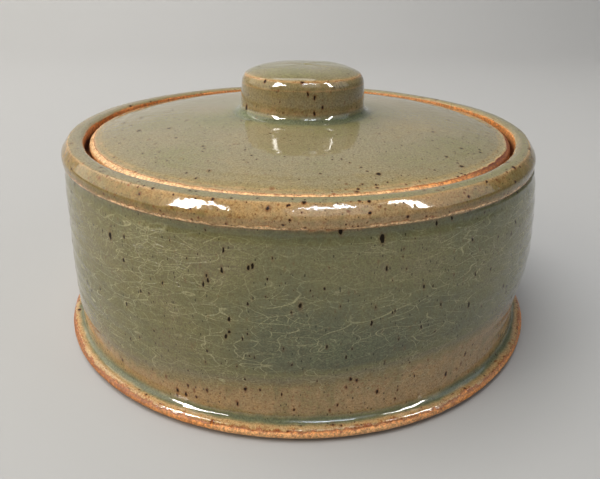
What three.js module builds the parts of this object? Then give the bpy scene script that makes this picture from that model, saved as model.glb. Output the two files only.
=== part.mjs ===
// A low round stoneware butter crock with a lift-off lid.
//
// Millimetres, +Z up. The origin is the middle of the foot, on the surface the crock stands on.
// The fired object is two loose pieces. Each is made of two turned pieces of clay luted together:
//   crock = crock_base (floor slab with its projecting foot flange) + crock_wall (wall and rim)
//   lid   = lid_disc (low dome that drops into the rim's gallery) + lid_knob

import * as THREE from 'three';

// Driving dimensions, millimetres.
const JOIN = 0.3; // gap left at every seam and seat
const RIM_R = 77.5; // outside of the rolled rim
const RIM_Z = 64.9; // crest of the rolled rim
const NECK_R = 76.7; // just under the rolled rim
const NECK_Z = 58.5;
const BELLY_R = 79.7; // widest part of the wall
const BELLY_Z = 30;
const HEEL_R = 78.6; // wall just above the foot flange
const HEEL_Z = 8;
const WALL = 6.4; // wall thickness

const FOOT_R = 80.2; // flat that the crock stands on
const FLANGE_R = 82.6; // projecting foot flange
const FLANGE_Z = 4.1; // top edge of the flange
const HOLLOW_R = 63; // shallow hollow turned under the floor
const HOLLOW_Z = 1.5;
const SHOULDER_Z = 4.7; // ring of the slab that the wall stands on
const FLOOR_Z = 8; // inside floor

const GALLERY_R = 70.8; // upright wall around the lid
const LEDGE_Z = 58.5; // ledge that the lid rests on
const LEDGE_R = 65; // mouth of the crock, inside the ledge
const LEDGE_T = 2.4; // thickness of the ledge at its lip

const LID_R = 69.4; // 1.4 mm clear of the gallery all round
const LID_SEAT_Z = LEDGE_Z + JOIN;
const LID_EDGE_Z = 63.8; // top of the lid's rounded edge
const LID_TOP_Z = 69.7; // flat that carries the knob
const LID_T = 6; // thickness of the dome
const SEAT_W = 5; // width of the lid's bearing ring

const KNOB_R = 20.9; // widest, a little above the knob's foot
const KNOB_FOOT_R = 20.2;
const KNOB_SIDE_R = 20.2; // top of the side, under the bevel
const KNOB_SIDE_Z = 80.6;
const KNOB_BREAK_R = 19.3; // edge between the bevel and the crowned top
const KNOB_BREAK_Z = 82.1;
const KNOB_TOP_Z = 84.9;
const PAD_R = KNOB_FOOT_R + 2; // flat on the dome under the knob

const CROCK_STEPS = 60; // sides of everything turned on the big radius
const KNOB_STEPS = 40;
const CURVE_STEPS = 4; // points on each curved stretch of an outline

const glaze = () =>
  new THREE.MeshStandardMaterial({ color: 0x86866a, roughness: 0.22, metalness: 0 });
const bareClay = () =>
  new THREE.MeshStandardMaterial({ color: 0xad7a50, roughness: 0.85, metalness: 0 });

// Turns an outline drawn as (radius, height) around the Z axis. It runs up the outside, in over
// the top and back under, so that the faces look out.
function turned(name, outline, material, steps) {
  const geometry = new THREE.LatheGeometry(outline.getPoints(CURVE_STEPS), steps);
  geometry.rotateX(Math.PI / 2);
  const mesh = new THREE.Mesh(geometry, material);
  mesh.name = name;
  return mesh;
}

// Floor slab: a flat foot ring, an undercut flange, and a raised disc that fills the wall's foot.
function crockBase() {
  const discR = BELLY_R - WALL - JOIN;
  const outline = new THREE.Path();
  outline.moveTo(0, HOLLOW_Z);
  outline.lineTo(HOLLOW_R, HOLLOW_Z);
  outline.lineTo(HOLLOW_R + 2, 0);
  outline.lineTo(FOOT_R, 0);
  outline.quadraticCurveTo(FLANGE_R - 0.2, 0.3, FLANGE_R, 2);
  outline.lineTo(FLANGE_R, FLANGE_Z - 1);
  outline.quadraticCurveTo(FLANGE_R, FLANGE_Z - 0.1, FLANGE_R - 2, FLANGE_Z);
  outline.quadraticCurveTo(HEEL_R + 1, FLANGE_Z + 0.1, HEEL_R, SHOULDER_Z);
  outline.lineTo(discR, SHOULDER_Z);
  outline.lineTo(discR, FLOOR_Z - 1);
  outline.quadraticCurveTo(discR - 0.5, FLOOR_Z, discR - 3, FLOOR_Z);
  outline.lineTo(0, FLOOR_Z);
  return turned('crock_base', outline, bareClay(), CROCK_STEPS);
}

// Wall: a slightly swelling cylinder under a rolled rim, with the lid's ledge turned inside it.
function crockWall() {
  const insideR = BELLY_R - WALL;
  const footZ = SHOULDER_Z + JOIN;
  const outline = new THREE.Path();
  outline.moveTo(HEEL_R - 0.3, footZ);
  outline.lineTo(HEEL_R, HEEL_Z);
  outline.quadraticCurveTo(BELLY_R, (HEEL_Z + BELLY_Z) / 2, BELLY_R, BELLY_Z);
  outline.quadraticCurveTo(BELLY_R, (BELLY_Z + NECK_Z) / 2, NECK_R, NECK_Z);
  outline.quadraticCurveTo(RIM_R, NECK_Z + 0.7, RIM_R, NECK_Z + 2.7);
  outline.quadraticCurveTo(RIM_R, RIM_Z - 0.9, RIM_R - 2.6, RIM_Z - 0.2);
  outline.quadraticCurveTo(RIM_R - 4.4, RIM_Z + 0.2, GALLERY_R + 0.9, RIM_Z - 0.1);
  outline.quadraticCurveTo(GALLERY_R, RIM_Z - 0.3, GALLERY_R, RIM_Z - 1.6);
  outline.lineTo(GALLERY_R, LEDGE_Z + 0.8);
  outline.lineTo(GALLERY_R - 0.8, LEDGE_Z);
  outline.lineTo(LEDGE_R + 0.7, LEDGE_Z);
  outline.quadraticCurveTo(LEDGE_R, LEDGE_Z, LEDGE_R, LEDGE_Z - 0.8);
  outline.lineTo(LEDGE_R, LEDGE_Z - LEDGE_T);
  outline.quadraticCurveTo(insideR - 1.2, LEDGE_Z - 6, insideR - 1, LEDGE_Z - 14);
  outline.quadraticCurveTo(insideR, BELLY_Z + 8, insideR, BELLY_Z);
  outline.lineTo(insideR, footZ);
  outline.lineTo(HEEL_R - 0.3, footZ);
  return turned('crock_wall', outline, glaze(), CROCK_STEPS);
}

// Lid: a flat bearing ring under a low dome, with a small flat on top for the knob.
function lidDisc() {
  const seatInnerR = LID_R - SEAT_W;
  const outline = new THREE.Path();
  outline.moveTo(0, LID_TOP_Z - LID_T);
  outline.quadraticCurveTo(seatInnerR * 0.6, LID_TOP_Z - LID_T, seatInnerR, LID_SEAT_Z);
  outline.lineTo(LID_R - 0.5, LID_SEAT_Z);
  outline.lineTo(LID_R, LID_SEAT_Z + 0.5);
  outline.lineTo(LID_R, LID_EDGE_Z - 1.3);
  outline.quadraticCurveTo(LID_R, LID_EDGE_Z - 0.2, LID_R - 1.4, LID_EDGE_Z);
  outline.quadraticCurveTo(LID_R * 0.62, LID_TOP_Z - 0.5, PAD_R, LID_TOP_Z);
  outline.lineTo(0, LID_TOP_Z);
  return turned('lid_disc', outline, glaze(), CROCK_STEPS);
}

// Knob: a solid drum, widest low down, with a small bevel and a softly crowned top.
function lidKnob() {
  const footZ = LID_TOP_Z + JOIN;
  const outline = new THREE.Path();
  outline.moveTo(0, footZ);
  outline.lineTo(KNOB_FOOT_R, footZ);
  outline.quadraticCurveTo(KNOB_R + 0.4, footZ + 3, KNOB_R - 0.4, footZ + 7);
  outline.lineTo(KNOB_SIDE_R, KNOB_SIDE_Z);
  outline.lineTo(KNOB_BREAK_R, KNOB_BREAK_Z);
  outline.quadraticCurveTo(KNOB_BREAK_R - 4.8, KNOB_TOP_Z, 0, KNOB_TOP_Z);
  return turned('lid_knob', outline, glaze(), KNOB_STEPS);
}

const crock = new THREE.Group();
crock.add(crockBase(), crockWall());

const lid = new THREE.Group();
lid.add(lidDisc(), lidKnob());

const butterCrock = new THREE.Group();
butterCrock.add(crock, lid);

export default butterCrock;
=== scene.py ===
"""Looks for the butter crock: a thrown stoneware pot and lid under a crackled celadon glaze.

An outline starts on the axis underneath and runs out, up the outside and in over the top. The
crock's goes on down the inside. Each row is (radius, height, glaze, crackle, iron), the first two in
millimetres.

glaze: how thick the glaze lies. 0 is bare clay, about 0.4 breaks tan over an edge, 1 is the full
coat, and above 1 it has pooled.
crackle: on glaze, how strongly the crack lines show. On bare clay, above 0 it has toasted dark, and
at 1, down in the gap around the lid, that dark is painted shade. Below 0 it is pale and smooth,
with no scorched line where the glaze ends.
iron: how crowded the specks are. Above 1 there are rusty blooms as well.
"""

import math

import bpy
import numpy as np
from mathutils import Matrix, Vector


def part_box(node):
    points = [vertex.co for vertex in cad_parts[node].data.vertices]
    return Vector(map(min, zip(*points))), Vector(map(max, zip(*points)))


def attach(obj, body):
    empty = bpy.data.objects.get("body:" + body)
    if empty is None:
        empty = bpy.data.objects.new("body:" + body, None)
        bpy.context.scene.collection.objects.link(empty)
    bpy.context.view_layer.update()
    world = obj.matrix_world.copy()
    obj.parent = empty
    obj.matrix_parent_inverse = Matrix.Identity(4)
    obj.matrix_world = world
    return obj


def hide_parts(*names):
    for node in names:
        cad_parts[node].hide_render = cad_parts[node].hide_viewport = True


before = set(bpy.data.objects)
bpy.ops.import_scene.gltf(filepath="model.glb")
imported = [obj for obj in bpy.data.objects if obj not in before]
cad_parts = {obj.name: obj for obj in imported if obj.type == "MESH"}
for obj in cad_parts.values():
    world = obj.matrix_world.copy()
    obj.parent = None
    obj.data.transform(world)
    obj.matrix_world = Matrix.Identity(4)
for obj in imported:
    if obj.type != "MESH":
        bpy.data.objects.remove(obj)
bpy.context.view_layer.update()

MM = 0.001
SEED = 11

# ---------------------------------------------------------------- places taken from the frame

BASE_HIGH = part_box("crock_base")[1]
WALL_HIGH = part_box("crock_wall")[1]
DISC_LOW, DISC_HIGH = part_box("lid_disc")
KNOB_LOW, KNOB_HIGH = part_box("lid_knob")
FLANGE_R = BASE_HIGH.x / MM
FLOOR_Z = BASE_HIGH.z / MM
RIM_Z = WALL_HIGH.z / MM
SEAT_Z = DISC_LOW.z / MM
LID_R = DISC_HIGH.x / MM
KNOB_Z = KNOB_HIGH.z / MM

# Places inside one node, which the frame's boxes don't give.
RIM_R = 77.5  # outside of the rolled rim
NECK_Z = 58.8  # groove under the rolled rim
GALLERY_R = 70.8  # upright wall around the lid
LEDGE_R = 65.0  # mouth of the crock, inside the ledge
LEDGE_Z = SEAT_Z - 0.3
KNOB_SIDE_Z = 71.5  # foot of the knob's side, above the pooled glaze

# ---------------------------------------------------------------- outlines

UNDERSIDE = [
    (0, 1.5, 0, 0, 0.3),
    (40, 1.5, 0, 0, 0.3),
    (62, 1.5, 0, 0, 0.3),
    (64, 1.0, 0, 0, 0.3),
    (65.4, 0.15, 0, 0, 0.3),
    (67, 0, 0, 0, 0.3),
    (78, 0, 0, 0, 0.3),
]
FOOT = [
    (FLANGE_R - 3.6, 0.05, 0, 0, 0.3),
    (FLANGE_R - 1.9, 0.45, 0, 0, 0.3),
    (FLANGE_R - 0.6, 1.15, 0, 0, 0.3),
    (FLANGE_R - 0.05, 1.95, 0, 0, 0.3),
    (FLANGE_R - 0.1, 2.7, 0, 0.1, 0.3),
    (FLANGE_R - 0.5, 3.2, 0.04, 0.4, 0.3),
    (FLANGE_R - 0.68, 3.4, 0.16, 0.3, 1.3),
    (FLANGE_R - 1.1, 3.85, 0.27, 0, 1.3),
    (FLANGE_R - 1.75, 4.05, 0.34, 0, 1.3),
    (FLANGE_R - 2.45, 3.98, 0.7, 0, 0.8),
    (FLANGE_R - 2.85, 4.12, 1.3, 0, 0.4),
    (FLANGE_R - 3.2, 4.38, 1.42, 0, 0.4),
    (FLANGE_R - 3.52, 4.67, 1.42, 0, 0.4),
    (FLANGE_R - 3.76, 5.0, 1.3, 0, 0.4),
    (FLANGE_R - 3.92, 5.45, 0.9, 0, 0.4),
]
WALL = [
    (78.61, 6.1, 0.6, 0, 0.6),
    (78.6, 7.5, 0.46, 0, 0.85),
    (78.62, 9.5, 0.5, 0.1, 0.85),
    (78.7, 12.5, 0.78, 0.6, 0.85),
    (79.0, 16, 1.15, 1, 0.85),
    (79.25, 21, 1.22, 1, 0.85),
    (79.65, 28, 1.22, 1, 0.85),
    (79.55, 34, 1.2, 1, 0.85),
    (78.95, 42, 1.18, 1, 0.85),
    (78.3, 48.4, 1.15, 1, 0.85),
    (77.4, 54.8, 1.2, 0.9, 0.85),
    # Under the rolled rim the glaze lies thick and dark: pooled in the groove, and also painted shade
    # for the rim's overhang.
    (76.85, 57.4, 1.3, 0.1, 0.85),
]
RIM = [
    (76.74, 58.35, 1.15, 0, 1.2),
    (76.82, 58.72, 0.6, -0.4, 1.2),
    (77.08, 58.9, 0.16, -1, 1.2),
    (RIM_R - 0.16, 59.2, 0.02, -1, 1.2),
    (RIM_R - 0.07, 59.5, 0.06, -1, 1.2),
    (RIM_R - 0.03, 59.85, 0.36, -0.4, 1.2),
    (RIM_R, 60.6, 0.5, 0, 1.2),
    (RIM_R - 0.02, 61.3, 0.52, 0, 1.2),
    (RIM_R - 0.3, 62.1, 0.48, 0, 1.2),
    (RIM_R - 0.81, 62.85, 0.47, 0, 1.2),
    (RIM_R - 1.37, 63.6, 0.45, 0, 1.2),
    (RIM_R - 1.99, 64.33, 0.34, 0, 1.2),
    (RIM_R - 2.34, 64.66, 0.4, 0, 1.2),
    (RIM_R - 2.8, 64.82, 0.9, 0, 1.2),
    (RIM_R - 3.9, RIM_Z, 1.0, 0, 1.2),
    (RIM_R - 5.3, RIM_Z, 1.0, 0, 1.2),
    (GALLERY_R + 0.55, 64.65, 0.85, 0, 1.2),
    (GALLERY_R + 0.2, 64.35, 0.6, 0.25, 1.2),
    (GALLERY_R + 0.05, 64.1, 0, 0.1, 1.2),
    (GALLERY_R, 63.7, 0, 0.12, 0.5),
]
# Down the gallery, into the gap around the lid, the bare clay goes from toasted to nearly black:
# painted shade in the gap.
GALLERY = [
    (GALLERY_R, 62.4, 0, 0.35, 0.5),
    (GALLERY_R, 61.2, 0, 1, 0.5),
    (GALLERY_R - 0.2, LEDGE_Z + 0.4, 0, 1, 0.5),
    (GALLERY_R - 0.9, LEDGE_Z, 0, 1, 0.5),
    (LEDGE_R + 3, LEDGE_Z, 0, 0.4, 0.5),
    (LEDGE_R + 1, LEDGE_Z, 0, 0, 0.5),
    (LEDGE_R + 0.2, LEDGE_Z - 0.35, 0.1, 0, 0.5),
    (LEDGE_R, LEDGE_Z - 1.1, 0.6, 0, 0.5),
]
INSIDE = [
    (LEDGE_R + 0.3, LEDGE_Z - 2.6, 1, 0, 0.3),
    (LEDGE_R + 4, LEDGE_Z - 5.5, 1, 0.2, 0.3),
    (72.0, 47, 1, 0.4, 0.3),
    (73.1, 36, 1, 0.5, 0.3),
    (73.2, 24, 1, 0.5, 0.3),
    (72.7, 15, 1.05, 0.5, 0.3),
    (70.6, FLOOR_Z + 1.6, 1.3, 0.4, 0.3),
]
FLOOR = [
    (66, FLOOR_Z + 0.15, 1.35, 0.4, 0.3),
    (40, FLOOR_Z, 1.15, 0.5, 0.3),
    (0, FLOOR_Z, 1.15, 0.5, 0.3),
]

# The dome starts at the knob's foot, starts to turn down at TURN_R and ends at the lid's rounded edge.
KNOB_FOOT_R, KNOB_FOOT_Z = 22, 69.55
TURN_R = 48
EDGE_R, EDGE_Z = LID_R - 1.8, 63.95
SLOPE = math.tan(math.radians(5))
TURN = (KNOB_FOOT_Z - SLOPE * (EDGE_R - KNOB_FOOT_R) - EDGE_Z) / (EDGE_R - TURN_R)**2


def dome(radius):
    """Top of the lid: an even slope away from the knob that turns down towards the edge."""
    return KNOB_FOOT_Z - SLOPE * (radius - KNOB_FOOT_R) - TURN * max(radius - TURN_R, 0)**2


LID_UNDER = [
    (0, KNOB_LOW.z / MM - 6.3, 1, 0.4, 0.2),
    (24, 63.2, 1, 0.4, 0.2),
    (48, 61.0, 1, 0.4, 0.2),
    (60, 59.5, 1, 0.2, 0.2),
    (63.6, SEAT_Z + 0.15, 0.6, 0, 0.2),
]
# The lid's bare side is dark low down, in the gap inside the gallery: painted shade. Above that its
# bare ring is pale.
LID_EDGE = [
    (64.6, SEAT_Z, 0, 0, 0.5),
    (LID_R - 1.2, SEAT_Z, 0, 0.6, 0.5),
    (LID_R - 0.25, SEAT_Z + 0.4, 0, 1, 0.5),
    (LID_R, SEAT_Z + 1.2, 0, 1, 0.5),
    (LID_R, 61.6, 0, 1, 0.5),
    (LID_R - 0.02, 62.4, 0, -0.2, 0.5),
    (LID_R - 0.3, 63.1, 0, -0.9, 0.5),
    (LID_R - 0.75, 63.52, 0, -0.9, 0.8),
    (LID_R - 1.2, 63.8, 0.04, -0.7, 1.5),
    (LID_R - 1.6, 63.98, 0.2, -0.3, 1.5),
    (LID_R - 2.0, 64.08, 0.6, 0, 1.5),
    (LID_R - 2.7, dome(LID_R - 2.7), 0.78, 0, 1.3),
    (LID_R - 3.6, dome(LID_R - 3.6) - 0.04, 0.66, 0, 1.1),
    (LID_R - 4.4, dome(LID_R - 4.4), 0.88, 0, 0.95),
    (LID_R - 8, dome(LID_R - 8), 0.98, 0.05, 0.8),
]
LID_DOME = [
    (58, dome(58), 1, 0.05, 0.6),
    (50, dome(50), 1, 0.05, 0.45),
    (36, dome(36), 1.0, 0.05, 0.4),
    (27, dome(27), 1.08, 0, 0.4),
    (24.2, dome(24.2) + 0.06, 1.16, 0, 0.2),
    (23.0, dome(23.0) + 0.2, 1.35, 0, 0.2),
]
KNOB = [
    (22.3, dome(22.3) + 0.44, 1.45, 0, 0.3),
    (21.75, 70.38, 1.5, 0, 0.3),
    (21.35, 70.86, 1.45, 0, 0.3),
    (21.05, 71.34, 1.15, 0, 0.3),
    (20.8, 71.84, 0.9, 0.1, 0.5),
    (20.7, 72.6, 0.58, 0.2, 0.4),
    (20.75, 74.2, 0.76, 0.3, 0.4),
    (20.68, 76.5, 0.84, 0.3, 0.4),
    (20.48, 79.0, 0.8, 0.2, 0.4),
    (20.42, 79.45, 0.5, 0.1, 0.4),
    (20.36, 79.85, 0.76, 0, 0.4),
    (20.2, 80.55, 0.8, 0, 0.4),
    (20.0, 80.96, 0.8, 0, 0.4),
    (19.78, 81.35, 0.78, 0, 0.4),
    (19.55, 81.72, 0.66, 0, 0.4),
    (19.33, 82.02, 0.22, 0, 0.4),
    (19.08, 82.25, 0.5, 0, 0.3),
    (18.5, 82.62, 0.95, 0, 0.2),
    (17.2, 83.2, 1.1, 0, 0.2),
    (15.2, 83.85, 1.15, 0, 0.2),
    (12, 84.42, 1.12, 0, 0.2),
    (7, 84.8, 1.1, 0, 0.2),
    (0, KNOB_Z, 1.1, 0, 0.2),
]


def centripetal(p0, p1, p2, p3, count):
    """Points of a centripetal Catmull-Rom curve from p1 up to, but not at, p2."""
    def knot(t, a, b):
        return t + max(np.linalg.norm(b - a), 1e-6) ** 0.5

    t0 = 0.0
    t1 = knot(t0, p0, p1)
    t2 = knot(t1, p1, p2)
    t3 = knot(t2, p2, p3)
    t = np.linspace(t1, t2, count, endpoint=False)[:, None]
    a1 = (t1 - t) / (t1 - t0) * p0 + (t - t0) / (t1 - t0) * p1
    a2 = (t2 - t) / (t2 - t1) * p1 + (t - t1) / (t2 - t1) * p2
    a3 = (t3 - t) / (t3 - t2) * p2 + (t - t2) / (t3 - t2) * p3
    b1 = (t2 - t) / (t2 - t0) * a1 + (t - t0) / (t2 - t0) * a2
    b2 = (t3 - t) / (t3 - t1) * a2 + (t - t1) / (t3 - t1) * a3
    return (t2 - t) / (t2 - t1) * b1 + (t - t1) / (t2 - t1) * b2


def smooth_outline(sections):
    """One fine outline through sections of (points, spacing in mm), with the same columns."""
    marks = np.array([p for points, _ in sections for p in points], float)
    spacing = [s for points, s in sections for _ in points]
    first = marks[0, :2] * 2 - marks[1, :2]
    last = marks[-1, :2] * 2 - marks[-2, :2]
    path = np.vstack([first, marks[:, :2], last])
    rows = []
    for i in range(len(marks) - 1):
        length = np.linalg.norm(marks[i + 1, :2] - marks[i, :2])
        count = max(2, math.ceil(length / spacing[i]))
        place = centripetal(*path[i:i + 4], count)
        share = np.linspace(0, 1, count, endpoint=False)[:, None]
        surface = marks[i, 2:] * (1 - share) + marks[i + 1, 2:] * share
        rows.append(np.hstack([place, surface]))
    rows.append(marks[-1:])
    return np.vstack(rows)


# ---------------------------------------------------------------- hand-made unevenness

STATIONS = 480  # points around every ring
AROUND = np.linspace(0, 2 * math.pi, STATIONS, endpoint=False)
GLAZE_RELIEF = 0.32  # mm that the full coat stands above the bare clay

# How deep the throwing rings, the slow swells and the rippled skin are, mm.
WALL_RINGS, INSIDE_RINGS, DOME_RINGS = 0.075, 0.16, 0.03
CROCK_SWELL, LID_SWELL = 0.07, 0.05
WALL_SKIN, RIM_SKIN, LID_SKIN = 0.015, 0.007, 0.012
SKIN_WAVES = range(20, 90, 6)  # how many waves each ripple of the skin has around the pot
FULLER = 0.95  # mm that the upper wall stands out on the right

# Stretches of the pot, as plateau() takes them: mm of height where each fades in and fades out.
RINGED_WALL = (6, 12), (56, 58)
RINGED_INSIDE = (9, 14), (44, 54)
COATED_WALL = (5.5, 8), (57, 58.5)
TAN_BAND = (8, 14), (20, 42)
LOW_WALL = (12, 22), (30, 58)
BELLY = (12, 34), (36, 58)
SHOULDER = (36, 54), (57.8, 59.2)
LIP = (59, 60.5), (64.2, 64.7)
LID_RING = (62, 63), (64, 64.2)
KNOB_SIDE = (72, 73), (81.5, 82)
RINGED_DOME = (26, 34), (62, 67)  # of radius, not height


def smoothstep(value, low, high):
    t = np.clip((value - low) / (high - low), 0, 1)
    return t * t * (3 - 2 * t)


def plateau(value, rise, fall):
    """1 between two slopes and 0 outside them. rise and fall: where each slope begins and ends."""
    return smoothstep(value, *rise) * (1 - smoothstep(value, *fall))


def towards(degrees):
    """Cosine of each station's angle from a direction, in degrees from the front towards +X."""
    return np.cos(AROUND - math.radians(degrees - 90))


def facing(degrees, low, high):
    """1 on the side that faces a direction and 0 away from it. low and high: as towards() gives."""
    return smoothstep(towards(degrees), low, high)


def throwing_rings(distance, spacing, turn):
    """The potter's spiral: a wave every spacing mm. turn: 1 or -1, the way that it climbs."""
    return np.sin(2 * math.pi * (distance[:, None] / spacing + turn * AROUND / (2 * math.pi)))


def ripple(rng, turns, along, drift):
    """Smooth noise, about 1 high, that closes on itself around the pot and changes slowly along it."""
    total = np.zeros((len(along), STATIONS))
    for k in turns:
        phase = rng.uniform(0, 2 * math.pi)
        lean = rng.uniform(-1, 1) * drift
        total += np.sin(k * AROUND + phase + lean * along[:, None])
    return total / math.sqrt(len(turns) / 2)


def edge_wander(rng, along):
    """How a glaze edge wanders around the pot, about 1 high: long swells with short ones on them."""
    swells = ripple(rng, range(3, 26, 2), along, 0.1)
    shivers = ripple(rng, range(31, 160, 7), along, 0.4)
    return swells * 0.6 + shivers * 0.4


def length_along(outline):
    return np.concatenate([[0], np.cumsum(np.hypot(*np.diff(outline[:, :2], axis=0).T))])


def outward(outline):
    """Unit normals of an outline that runs up its outside."""
    run = np.gradient(outline[:, :2], axis=0)
    normal = np.stack([run[:, 1], -run[:, 0]], 1)
    return normal / np.linalg.norm(normal, axis=1)[:, None]


def thrown(name, outline, wander, extra, painted_shading, amber, relief, centre):
    """Turns an outline into a mesh with a stepped glaze edge and the potter's small unevenness.

    wander: mm along the outline by which the glaze is read further on. extra: glaze added where there
    is some. The shading after extra: painted shade and painted light on bare clay, added to the
    outline's crackle. amber: how golden the glaze has turned, 0 to 1. relief: mm of surface swell. All
    per row and station. centre: sideways shift of each row, mm.
    """
    along = length_along(outline)
    glaze = np.interp(along[:, None] + wander, along, outline[:, 2])
    swell = relief + GLAZE_RELIEF * (np.minimum(glaze, 1) - np.minimum(outline[:, 2:3], 1))
    glaze = glaze + extra * smoothstep(glaze, 0.05, 0.3)
    normal = outward(outline)
    radius = outline[:, 0:1] + normal[:, 0:1] * swell
    height = np.maximum(outline[:, 1:2] + normal[:, 1:2] * swell, 0)
    radius[[0, -1]] = 0
    height[[0, -1]] = outline[[0, -1], 1:2]
    x = radius * np.cos(AROUND) + centre[:, None]
    y = radius * np.sin(AROUND)
    crackle = outline[:, 3:4] + painted_shading
    iron = np.repeat(outline[:, 4:5], STATIONS, 1)
    surface = {"glaze": glaze, "crackle": crackle, "iron": iron, "amber": amber}
    return lathe_mesh(name, x, y, height, surface)


def lathe_mesh(name, x, y, z, surface):
    """A closed mesh from rings of points. The first and the last ring are single points on the axis."""
    rings, around = x.shape
    inner = slice(1, rings - 1)

    def flat(grid):
        return np.concatenate([grid[0, :1], grid[inner].ravel(), grid[-1, :1]])

    points = np.stack([flat(x), flat(y), flat(z)], 1) * MM
    top = len(points) - 1
    here = np.arange(around)
    after = (here + 1) % around
    ring = 1 + np.arange(rings - 3)[:, None] * around
    quads = np.stack([ring + here, ring + after, ring + after + around, ring + here + around], 2)
    last = 1 + (rings - 3) * around
    faces = quads.reshape(-1, 4).tolist()
    faces += [(0, b, a) for a, b in zip((1 + here).tolist(), (1 + after).tolist())]
    faces += [(top, a, b) for a, b in zip((last + here).tolist(), (last + after).tolist())]
    mesh = bpy.data.meshes.new(name)
    mesh.from_pydata(points.tolist(), [], faces)
    for key, grid in surface.items():
        layer = mesh.attributes.new(key, "FLOAT", "POINT")
        layer.data.foreach_set("value", flat(grid).astype(np.float32))
    mesh.shade_smooth()
    mesh.validate()
    piece = bpy.data.objects.new(name, mesh)
    bpy.context.scene.collection.objects.link(piece)
    return piece


def crock_glaze(rng, outline, outside):
    """The crock's wander, extra, painted shading and amber, as thrown() takes them."""
    along = length_along(outline)
    height = outline[:, 1]

    # Every glaze edge wanders by some mm, most of all at the foot and under the rim.
    at_foot = height < 6
    at_neck = outside & (height > 57) & (height < 60)
    ragged = np.where(at_foot, 0.32, np.where(at_neck, 0.3, 0.16))
    wander = edge_wander(rng, along) * ragged[:, None]

    # The tan band climbs towards the right: there the glaze is read from further down, mm.
    climb, lowest = 8.5, 8.5
    tan_band = climb * (outside * plateau(height, *TAN_BAND))[:, None] * facing(52, 0.1, 1)
    wander -= np.minimum(tan_band, np.maximum(height[:, None] - lowest, 0))

    # The glaze lies thicker on the lip except at the front, and on the right of the rim's top. Low on
    # the front of the wall it is also made thicker and so darker: a painted dark reflection.
    lip = outside * plateau(height, *LIP)
    rim_top = outside * smoothstep(height, 64.6, 64.8)
    painted_dark_reflection = outside * plateau(height, *LOW_WALL)
    extra = 0.26 * lip[:, None] * (1 - facing(6, 0.7, 0.97))
    extra += 0.14 * rim_top[:, None] * towards(50)
    extra += 0.2 * painted_dark_reflection[:, None] * facing(10, 0.84, 1)

    # It is golden on the lip to the left and the right of the front, and on the left of the wall.
    coated = outside * plateau(height, *COATED_WALL)
    amber = lip[:, None] * np.maximum(1.2 * facing(-56, 0.5, 0.95), 0.8 * facing(60, 0.7, 0.95))
    amber += 0.5 * coated[:, None] * facing(-62, 0.2, 1)

    # The bare flange is painted darker on the left, as painted shade, and paler at the front, as
    # painted light.
    flange = outside * (1 - smoothstep(height, 3, 3.6))
    painted_shading = flange[:, None] * (0.5 * facing(-80, 0.2, 0.9) - 0.5 * facing(4, 0.8, 1))
    return wander, extra, painted_shading, amber


def crock_relief(rng, outline, outside):
    """Mm of throwing rings, slow swells and a rippled skin, with an upper wall fuller on the right."""
    along = length_along(outline)
    height = outline[:, 1]
    rings = throwing_rings(height, 5.2, 1) + 0.6 * throwing_rings(height, 2.9, -1)
    ring_depth = outside * plateau(height, *RINGED_WALL) * WALL_RINGS
    ring_depth = ring_depth + ~outside * plateau(height, *RINGED_INSIDE) * INSIDE_RINGS
    soft = ripple(rng, range(2, 9), along, 0.05) * CROCK_SWELL
    skin_depth = np.where(height > 59, RIM_SKIN, WALL_SKIN)[:, None]
    skin = ripple(rng, SKIN_WAVES, along, 0.5) * skin_depth

    # The foot and the ledge stay flat, because the pot stands on one and the lid on the other.
    on_ledge = (height > 57) & (height < 60) & ~outside
    free = smoothstep(height, 0.5, 2) * ~on_ledge
    relief = rings * ring_depth[:, None] + (soft + skin) * free[:, None]
    shoulder = outside * plateau(height, *SHOULDER)
    return relief + FULLER * shoulder[:, None] * facing(92, 0.3, 0.95)


def make_crock():
    rng = np.random.default_rng(SEED)
    outline = smooth_outline([(UNDERSIDE, 10), (FOOT, 0.5), (WALL, 1.1), (RIM, 0.5), (GALLERY, 0.9),
                              (INSIDE, 2.2), (FLOOR, 12)])
    height = outline[:, 1]
    outside = np.arange(len(outline)) < np.argmax(height)
    wander, extra, painted_shading, amber = crock_glaze(rng, outline, outside)
    relief = crock_relief(rng, outline, outside)

    # The belly stands about 1 mm to the right of the foot, and the rim a trace to the left.
    belly = plateau(height, *BELLY)
    centre = outside * (belly * 0.95 - 0.25 * smoothstep(height, 4, 12) * (1 - belly))

    piece = thrown("crock", outline, wander, extra, painted_shading, amber, relief, centre)
    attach(piece, "crock")
    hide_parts("crock_wall", "crock_base")
    return piece


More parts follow.
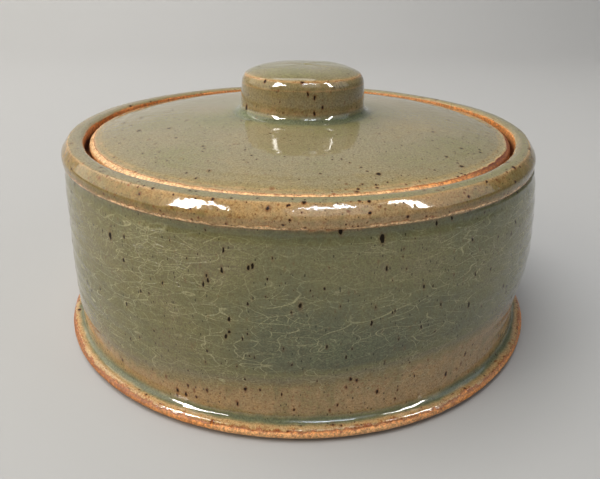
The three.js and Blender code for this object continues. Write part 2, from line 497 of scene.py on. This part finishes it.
def make_lid():
    rng = np.random.default_rng(SEED + 1)
    outline = smooth_outline([(LID_UNDER, 3), (LID_EDGE, 0.5), (LID_DOME, 1.6), (KNOB, 0.5)])
    along = length_along(outline)
    height = outline[:, 1]
    radius = outline[:, 0]

    uneven = smoothstep(radius, 22, 60)[:, None]  # 0 on the knob, whose highlights need a calm skin
    wander = edge_wander(rng, along) * (0.03 + 0.11 * uneven)
    extra = ripple(rng, range(1, 6), along, 0.2) * 0.04

    on_top = height > 63.5
    rings = throwing_rings(radius, 4.1, 1)
    ring_depth = (on_top * plateau(radius, *RINGED_DOME))[:, None]
    soft = ripple(rng, range(2, 7), along, 0.05) * LID_SWELL
    skin = ripple(rng, SKIN_WAVES, along, 0.5) * LID_SKIN * uneven
    free = (height > SEAT_Z + 1)[:, None]
    relief = rings * ring_depth * DOME_RINGS + (soft + skin) * free

    # The knob sits a little right of the middle, and the whole lid a trace.
    centre = 0.75 * (1 - smoothstep(radius, 21, 45)) * (height > 68) + 0.15

    # The bare ring around the lid is painted darker on the right, as painted shade, and the knob is
    # golden on the left.
    painted_shading = 1.75 * plateau(height, *LID_RING)[:, None] * facing(95, 0.2, 0.8)
    amber = 0.4 * plateau(height, *KNOB_SIDE)[:, None] * facing(-50, 0.3, 0.95)

    piece = thrown("lid", outline, wander, extra, painted_shading, amber, relief, centre)
    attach(piece, "lid")
    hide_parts("lid_disc", "lid_knob")
    return piece


# ---------------------------------------------------------------- material

def linear(red, green, blue):
    """A colour given as 0 to 255 screen values, as the linear values that a shader takes."""
    def one(v):
        v /= 255
        return v / 12.92 if v <= 0.04045 else ((v + 0.055) / 1.055) ** 2.4
    return (one(red), one(green), one(blue), 1)


CLAY = linear(224, 144, 64)
CLAY_PALE = linear(240, 200, 150)
CLAY_DARK = linear(150, 84, 42)
# Toasted clay, also used as painted shade in the gap around the lid, on the lid's ring and on the
# flange.
CLAY_TOAST_AND_SHADE = linear(96, 42, 16)
RUST = linear(156, 92, 44)
TAN = linear(186, 151, 102)
OLIVE_TAN = linear(175, 146, 105)
OLIVE = linear(148, 131, 89)
GREY_GREEN = linear(134, 124, 95)
DEEP_GREEN = linear(124, 120, 83)
DARK_CELADON = linear(102, 104, 80)
POOL = linear(108, 116, 84)
IRON = linear(24, 15, 6)
IRON_BROWN = linear(118, 64, 26)
CRACK = linear(190, 184, 140)
SCORCH = linear(134, 62, 20)
AMBER_TINT = (0.73, 0.66, 0.43, 1)
PAPER = linear(168, 168, 168)

# The glaze's colour at half its thickness, so that the ramp reaches from bare clay to twice the coat.
GLAZE_RAMP = [
    (0.05, RUST),
    (0.14, TAN),
    (0.26, OLIVE_TAN),
    (0.36, OLIVE),
    (0.49, GREY_GREEN),
    (0.6, DEEP_GREEN),
    (0.7, DARK_CELADON),
    (0.85, POOL),
]


class Tree:
    """Short ways to add nodes to a material. A value is a number, a colour or another node's output.

    Sizes, widths and amounts of textures are in millimetres.
    """

    def __init__(self, name):
        self.material = bpy.data.materials.new(name)
        self.material.use_nodes = True
        self.nodes = self.material.node_tree.nodes
        self.links = self.material.node_tree.links
        self.shader = self.nodes["Principled BSDF"]

    def put(self, socket, value):
        if isinstance(value, bpy.types.NodeSocket):
            self.links.new(value, socket)
        elif value is not None:
            socket.default_value = value

    def math(self, operation, a, b=None, clamp=False):
        node = self.nodes.new("ShaderNodeMath")
        node.operation = operation
        node.use_clamp = clamp
        self.put(node.inputs[0], a)
        self.put(node.inputs[1], b)
        return node.outputs[0]

    def plus(self, a, b):
        return self.math("ADD", a, b)

    def minus(self, a, b):
        return self.math("SUBTRACT", a, b)

    def times(self, a, b, clamp=False):
        return self.math("MULTIPLY", a, b, clamp)

    def larger(self, a, b):
        return self.math("MAXIMUM", a, b)

    def smaller(self, a, b):
        return self.math("MINIMUM", a, b)

    def band(self, value, low, high, start=0.0, end=1.0):
        """Goes smoothly from start to end as value goes from low to high."""
        node = self.nodes.new("ShaderNodeMapRange")
        node.interpolation_type = "SMOOTHSTEP"
        for name, v in (("Value", value), ("From Min", low), ("From Max", high),
                        ("To Min", start), ("To Max", end)):
            self.put(node.inputs[name], v)
        return node.outputs[0]

    def blend(self, share, a, b):
        """The number a, or b as share goes to 1."""
        node = self.nodes.new("ShaderNodeMix")
        node.data_type = "FLOAT"
        self.put(node.inputs[0], share)
        self.put(node.inputs[2], a)
        self.put(node.inputs[3], b)
        return node.outputs[0]

    def mix(self, share, a, b, blend="MIX"):
        """The colour a, mixed with b by share."""
        node = self.nodes.new("ShaderNodeMix")
        node.data_type = "RGBA"
        node.blend_type = blend
        self.put(node.inputs["Factor"], share)
        self.put(node.inputs[6], a)
        self.put(node.inputs[7], b)
        return node.outputs[2]

    def ramp(self, value, stops):
        node = self.nodes.new("ShaderNodeValToRGB")
        self.put(node.inputs[0], value)
        elements = node.color_ramp.elements
        for element, (place, colour) in zip(elements, (stops[0], stops[-1])):
            element.position = place
            element.color = colour
        for place, colour in stops[1:-1]:
            elements.new(place).color = colour
        return node.outputs[0]

    def noise(self, vector, size, detail=2.0, rough=0.5):
        """Noise from 0 to 1 whose features are about size across."""
        node = self.nodes.new("ShaderNodeTexNoise")
        self.put(node.inputs["Vector"], vector)
        node.inputs["Scale"].default_value = 1 / (size * MM)
        node.inputs["Detail"].default_value = detail
        node.inputs["Roughness"].default_value = rough
        return node.outputs["Fac"]

    def swing(self, vector, size, detail=2.0, rough=0.5):
        """The same noise from -0.5 to 0.5."""
        return self.minus(self.noise(vector, size, detail, rough), 0.5)

    def cells(self, vector, size, feature="F1"):
        """Distance to the nearest cell centre or edge, in cells, and a random colour for each cell."""
        node = self.nodes.new("ShaderNodeTexVoronoi")
        node.feature = feature
        self.put(node.inputs["Vector"], vector)
        node.inputs["Scale"].default_value = 1 / (size * MM)
        return node.outputs["Distance"], node.outputs.get("Color")

    def tall(self, vector, factor):
        """A position with its height multiplied, so that a texture on it comes out flatter."""
        node = self.nodes.new("ShaderNodeVectorMath")
        node.operation = "MULTIPLY"
        self.put(node.inputs[0], vector)
        node.inputs[1].default_value = (1, 1, factor)
        return node.outputs[0]

    def warp(self, vector, size, amount, detail=1):
        """Pushes a position about by up to amount, so that straight lines bend."""
        node = self.nodes.new("ShaderNodeTexNoise")
        self.put(node.inputs["Vector"], vector)
        node.inputs["Scale"].default_value = 1 / (size * MM)
        node.inputs["Detail"].default_value = detail
        push = self.nodes.new("ShaderNodeVectorMath")
        push.operation = "MULTIPLY_ADD"
        self.links.new(node.outputs["Color"], push.inputs[0])
        push.inputs[1].default_value = (amount * 2 * MM,) * 3
        self.put(push.inputs[2], vector)
        return push.outputs[0]

    def attribute(self, name):
        node = self.nodes.new("ShaderNodeAttribute")
        node.attribute_name = name
        return node.outputs["Fac"]


def place_on_pot(tree):
    """The position in the frame, and the same with heights on the wall and the knob halved.

    On the second one round specks come out twice as tall there, as if they had run.
    """
    coords = tree.nodes.new("ShaderNodeTexCoord").outputs["Object"]
    parts = tree.nodes.new("ShaderNodeSeparateXYZ")
    tree.links.new(coords, parts.inputs[0])
    neck, knob = NECK_Z * MM, KNOB_SIDE_Z * MM
    z = parts.outputs["Z"]
    on_wall = tree.smaller(z, neck)
    between = tree.smaller(tree.larger(z, neck), knob)
    on_knob = tree.larger(z, knob)
    height = tree.plus(tree.times(tree.plus(on_wall, on_knob), 0.5), between)
    joined = tree.nodes.new("ShaderNodeCombineXYZ")
    tree.links.new(parts.outputs["X"], joined.inputs["X"])
    tree.links.new(parts.outputs["Y"], joined.inputs["Y"])
    tree.links.new(height, joined.inputs["Z"])
    return coords, joined.outputs[0]


def specks(tree, vector, size, share, radius):
    """Round specks of up to radius mm, in a share of cells of size mm. Gives speck and halo, 0 to 1."""
    smallest, solid, halo_reach = 0.35, 0.82, 1.9
    distance, colour = tree.cells(vector, size)
    split = tree.nodes.new("ShaderNodeSeparateColor")
    tree.links.new(colour, split.inputs[0])
    chosen = tree.math("LESS_THAN", split.outputs[0], share)
    reach = tree.band(split.outputs[1], 0, 1, smallest * radius / size, radius / size)
    inner = tree.times(reach, solid)
    speck = tree.times(tree.band(distance, reach, inner), chosen)
    halo = tree.times(tree.band(distance, tree.times(reach, halo_reach), inner), chosen)
    return speck, halo


CORE = 0.3  # share of a crack line's width that is fully drawn


def crack_lines(tree, vector, size, width, bend):
    """Lines between cells of size mm, bent into arcs. width: mm from a line's middle to its edge."""
    bent = tree.warp(vector, size * 1.1, bend, 0)
    distance, _ = tree.cells(bent, size, "DISTANCE_TO_EDGE")
    return tree.band(distance, width / size, CORE * width / size)


def contour_lines(tree, vector, size, levels, width):
    """Long sweeping lines: the contours of a smooth noise. width: share of the gap between two."""
    steps = tree.times(tree.noise(vector, size, 1, 0.35), levels)
    return tree.band(tree.math("PINGPONG", steps, 0.5), width, CORE * width)


def crack_network(tree, coords, crackle):
    """Thin crack lines, 0 to 1: long and flat around the wall, and broken into arcs."""
    flat = tree.tall(coords, 2.6)
    flatter = tree.tall(coords, 3.4)
    sweeps = contour_lines(tree, flatter, size=24, levels=9, width=0.042)
    coarse = crack_lines(tree, flat, size=10.5, width=0.15, bend=4)
    fine = crack_lines(tree, flat, size=5.2, width=0.12, bend=1.5)
    hair = crack_lines(tree, flat, size=2.4, width=0.09, bend=0.5)

    def broken(lines, size, low, high, least, most):
        """Fades the lines from least to most where a noise of size mm goes from low to high."""
        return tree.times(lines, tree.band(tree.noise(flat, size, 1), low, high, least, most))

    sweeps = broken(sweeps, 8, 0.4, 0.54, 0, 0.95)
    coarse = broken(coarse, 9, 0.36, 0.5, 0.15, 0.9)
    fine = broken(fine, 6, 0.37, 0.54, 0.1, 0.75)
    hair = broken(hair, 9, 0.46, 0.6, 0, 0.5)
    shows = tree.band(tree.noise(coords, 18, 1), 0.3, 0.62, 0.4, 1)
    lines = tree.larger(tree.larger(coarse, fine), tree.larger(hair, sweeps))
    return tree.times(tree.times(lines, shows), tree.larger(crackle, 0))


def with_grain(tree, colour, coords, thin):
    """Fine grain: faint in the full coat, brown freckles where the clay is near."""
    freckles = tree.band(tree.noise(coords, 0.7, 2, 0.7), 0.54, 0.68)
    colour = tree.mix(tree.times(freckles, tree.band(thin, 0, 1, 0.1, 0.5)), colour, IRON_BROWN)
    shade = tree.band(tree.noise(coords, 0.5, 2, 0.8), 0.34, 0.66, 0.76, 1.24)
    return tree.mix(1.0, colour, shade, "MULTIPLY")


def with_iron(tree, colour, runny, coat, crowd):
    """Iron specks with a rusty halo where the glaze is thin. Also gives where the big ones lie."""
    blotchy = tree.warp(runny, 0.8, 0.28)
    big, big_halo = specks(tree, blotchy, size=4.6, share=tree.times(crowd, 0.75), radius=0.68)
    small, small_halo = specks(tree, blotchy, size=2.2, share=tree.times(crowd, 1.1), radius=0.38)
    pepper, _ = specks(tree, runny, size=1.1, share=0.7, radius=0.23)
    bloom_share = tree.times(tree.minus(crowd, 1.0), 1.5)
    bloom, _ = specks(tree, blotchy, size=5.3, share=bloom_share, radius=1.0)
    colour = tree.mix(tree.times(bloom, 0.7), colour, SCORCH)
    halo = tree.larger(big_halo, small_halo)
    colour = tree.mix(tree.times(halo, tree.band(coat, 1.1, 0.6, 0.3, 0.85)), colour, IRON_BROWN)
    blots = tree.larger(big, small)
    iron = tree.larger(blots, tree.times(pepper, 0.7))
    return tree.mix(tree.times(iron, 0.97), colour, IRON), blots


def bare_clay(tree, coords, crackle, pale):
    """Orange clay, grainy, with darker grog and a few specks; darker where crackle is above 0."""
    warmth = tree.band(tree.noise(coords, 16, 2), 0.35, 0.65, 0, 0.15)
    clay = tree.mix(warmth, CLAY, CLAY_PALE)
    # Paler where crackle is below 0: pale clay, and at the flange's front painted light.
    clay = tree.mix(pale, clay, CLAY_PALE)
    grog = tree.band(tree.noise(coords, 1.0, 3, 0.7), 0.5, 0.72, 0, 0.7)
    clay = tree.mix(grog, clay, CLAY_DARK)
    # Darker where crackle is above 0: toasted clay, and painted shade in the gap around the lid, on the
    # lid's ring at the right and on the flange's left.
    clay = tree.mix(tree.times(crackle, 0.95, clamp=True), clay, CLAY_TOAST_AND_SHADE)
    shade = tree.band(tree.noise(coords, 0.8, 2, 0.8), 0.34, 0.66, 0.62, 1.38)
    clay = tree.mix(1.0, clay, shade, "MULTIPLY")
    speck, _ = specks(tree, coords, size=2.2, share=0.3, radius=0.3)
    return tree.mix(tree.times(speck, 0.7), clay, IRON_BROWN)


def celadon_over_clay():
    tree = Tree("celadon_over_clay")
    coords, runny = place_on_pot(tree)
    coat = tree.attribute("glaze")
    crackle = tree.attribute("crackle")
    crowd = tree.attribute("iron")
    thin = tree.band(coat, 1.0, 0.5)
    pale = tree.times(crackle, -1, clamp=True)

    # The glaze's thickness at each point, mottled where it is thin. It ends where the crumbling edge
    # falls through 0.19 to 0.12, with a scorched line across that.
    mottle = tree.times(tree.swing(runny, 2.2, 3, 0.6), tree.band(thin, 0, 1, 0.25, 0.8))
    wobble = tree.plus(mottle, tree.times(tree.swing(coords, 0.5, 2, 0.7), 0.4))
    wobble = tree.plus(wobble, tree.times(tree.swing(coords, 22, 2), 0.5))
    half_thickness = tree.times(tree.plus(coat, wobble), 0.5)
    edge = tree.plus(coat, tree.times(wobble, 0.45))
    edge = tree.plus(edge, tree.times(tree.swing(coords, 1.5, 3, 0.65), 0.5))
    glazed = tree.band(edge, 0.12, 0.19)
    scorched = tree.times(tree.band(edge, 0.04, 0.12), tree.band(edge, 0.26, 0.17))
    scorched = tree.times(scorched, tree.band(crackle, -0.7, -0.2))

    glaze = tree.ramp(half_thickness, GLAZE_RAMP)
    streaks = tree.band(tree.noise(runny, 5, 2), 0.3, 0.6, 0.5, 1)
    golden = tree.times(tree.attribute("amber"), streaks)
    glaze = tree.mix(golden, glaze, AMBER_TINT, "MULTIPLY")
    cracks = crack_network(tree, coords, crackle)
    glaze = tree.mix(tree.times(cracks, 0.62), glaze, CRACK)
    glaze = with_grain(tree, glaze, coords, thin)
    glaze, blots = with_iron(tree, glaze, runny, coat, crowd)

    colour = tree.mix(glazed, bare_clay(tree, coords, crackle, pale), glaze)
    colour = tree.mix(tree.times(scorched, 0.55), colour, SCORCH)

    glaze_rough = tree.band(tree.noise(coords, 6, 2), 0.3, 0.7, 0.04, 0.07)
    glaze_rough = tree.plus(glaze_rough, tree.times(thin, 0.03))
    glaze_rough = tree.plus(glaze_rough, tree.times(blots, 0.35))
    clay_rough = tree.band(pale, 0, 1, 0.6, 0.14)

    # Relief: an orange peel, stronger on thin glaze, sandy clay, and sunken specks and cracks.
    peel = tree.times(tree.noise(coords, 2.1, 1), tree.band(thin, 0, 1, 0.12, 0.6))
    sand = tree.times(tree.noise(coords, 0.45, 3, 0.7), tree.band(glazed, 1, 0, 0, 1.4))
    relief = tree.plus(tree.plus(peel, sand), tree.times(blots, -0.4))
    relief = tree.minus(relief, tree.times(cracks, 0.35))
    relief = tree.plus(relief, tree.times(glazed, 1.2))
    bump = tree.nodes.new("ShaderNodeBump")
    bump.inputs["Distance"].default_value = 0.1 * MM
    bump.inputs["Strength"].default_value = 1
    tree.links.new(relief, bump.inputs["Height"])

    tree.put(tree.shader.inputs["Base Color"], colour)
    tree.put(tree.shader.inputs["Roughness"], tree.blend(glazed, clay_rough, glaze_rough))
    tree.put(tree.shader.inputs["Normal"], bump.outputs[0])
    tree.put(tree.shader.inputs["Specular IOR Level"], tree.band(blots, 0, 1, 0.5, 0.08))
    tree.put(tree.shader.inputs["IOR"], 1.52)
    return tree.material


def stage_material():
    tree = Tree("stage_paper")
    tree.shader.inputs["Base Color"].default_value = PAPER
    tree.shader.inputs["Roughness"].default_value = 0.9
    return tree.material


# ---------------------------------------------------------------- stage, light and camera

def make_stage():
    """A pale floor that sweeps up into a backdrop well behind the pot, metres."""
    half_width, front, bend_y, bend_r, top = 3.0, -3.0, 0.7, 0.5, 2.2
    sweep = np.linspace(0, math.pi / 2, 13)
    section = [(front, 0.0)]
    section += [(bend_y + bend_r * math.sin(a), bend_r - bend_r * math.cos(a)) for a in sweep]
    section.append((bend_y + bend_r, top))
    points = [(x, y, z) for y, z in section for x in (-half_width, half_width)]
    faces = [(2 * i, 2 * i + 1, 2 * i + 3, 2 * i + 2) for i in range(len(section) - 1)]
    mesh = bpy.data.meshes.new("stage_floor")
    mesh.from_pydata(points, [], faces)
    mesh.shade_smooth()
    mesh.materials.append(stage_material())
    floor = bpy.data.objects.new("stage_floor", mesh)
    bpy.context.scene.collection.objects.link(floor)


NOON = (1.0, 0.98, 0.95)
PLASTER = (1.0, 0.98, 0.94)
SKY = (0.8, 0.88, 1.0)
SHADE = (0.82, 0.92, 1.0)
CREAM = (1.0, 0.92, 0.79)
STRAW = (1.0, 0.95, 0.78)
WINDOW = (1.0, 0.96, 0.9)
LOW_SUN = (1.0, 0.97, 0.92)
POT = (0, 0, 0.06)
BEHIND_POT = (-0.35, 1.1, 0.25)


def soft_box(name, azimuth, elevation, distance, size, watts, colour, aim=POT,
             diffuse=True, gloss=True):
    """An area light that faces its aim. Azimuth is from the front towards +X.

    Angles are in degrees, distance and size (width and height) in metres. diffuse and gloss say
    whether it lights surfaces and whether they reflect it.
    """
    a, e = math.radians(azimuth), math.radians(elevation)
    away = Vector((math.sin(a) * math.cos(e), -math.cos(a) * math.cos(e), math.sin(e)))
    lamp = bpy.data.lights.new(name, "AREA")
    lamp.shape = "RECTANGLE"
    lamp.size, lamp.size_y = size
    lamp.energy = watts
    lamp.color = colour
    piece = bpy.data.objects.new(name, lamp)
    piece.location = Vector(aim) + away * distance
    piece.rotation_mode = "QUATERNION"
    piece.rotation_quaternion = (-away).to_track_quat("-Z", "Y")
    piece.visible_diffuse = diffuse
    piece.visible_glossy = gloss
    bpy.context.scene.collection.objects.link(piece)


def reflection(name, azimuth, elevation, size, watts, colour, distance=1.0):
    """A window or lamp that only shows as a highlight in the glaze."""
    soft_box(name, azimuth, elevation, distance, size, watts, colour, diffuse=False)


def make_lights():
    world = bpy.data.worlds.new("studio")
    world.use_nodes = True
    world.node_tree.nodes["Background"].inputs["Color"].default_value = (*SKY, 1)
    world.node_tree.nodes["Background"].inputs["Strength"].default_value = 0.09
    bpy.context.scene.world = world

    # name, azimuth, elevation, distance, (width, height), watts, colour
    soft_box("overhead", -62, 74, 1.5, (1.4, 1.0), 24.5, NOON, gloss=False)
    soft_box("left_wall", -97, 28, 2.0, (3.0, 1.7), 27, CREAM)
    soft_box("right_wall", 80, 28, 1.3, (0.8, 0.8), 1.8, SHADE)
    soft_box("left_front", -48, 28, 1.2, (0.8, 0.8), 2.7, STRAW, gloss=False)
    soft_box("backdrop", -10, 50, 0.9, (1.2, 0.4), 4, PLASTER, aim=BEHIND_POT)

    # name, azimuth, elevation, (width, height), watts, colour
    reflection("left_window", -56, 38, (0.13, 0.38), 11.0, WINDOW)
    reflection("left_blind", -47, 45, (0.24, 0.03), 1.6, WINDOW)
    reflection("right_blind", 55, 48, (0.08, 0.025), 0.5, LOW_SUN)
    reflection("front_tube", 17, 52, (0.36, 0.018), 1.5, SKY)
    reflection("right_window", 61, 39, (0.06, 0.42), 5.2, LOW_SUN)
    reflection("front_sky", 18, 46, (0.6, 0.35), 0.8, SKY, distance=1.1)


def make_camera():
    """The photograph's place and angle: a little above the rim, looking down across the lid."""
    look_down, roll = math.radians(24.967), math.radians(0.614)
    place = (0.53 * MM, -194.9 * MM, 111.4 * MM)
    data = bpy.data.cameras.new("camera")
    data.sensor_width = 36
    data.lens = 34.05
    camera = bpy.data.objects.new("camera", data)
    turn = Matrix.Rotation(math.pi / 2 - look_down, 4, "X") @ Matrix.Rotation(roll, 4, "Z")
    camera.matrix_world = Matrix.Translation(place) @ turn
    bpy.context.scene.collection.objects.link(camera)
    bpy.context.scene.camera = camera


make_camera()
make_stage()
make_lights()
pot_material = celadon_over_clay()
for piece in (make_crock(), make_lid()):
    piece.data.materials.append(pot_material)

bpy.context.scene.view_settings.view_transform = "Standard"
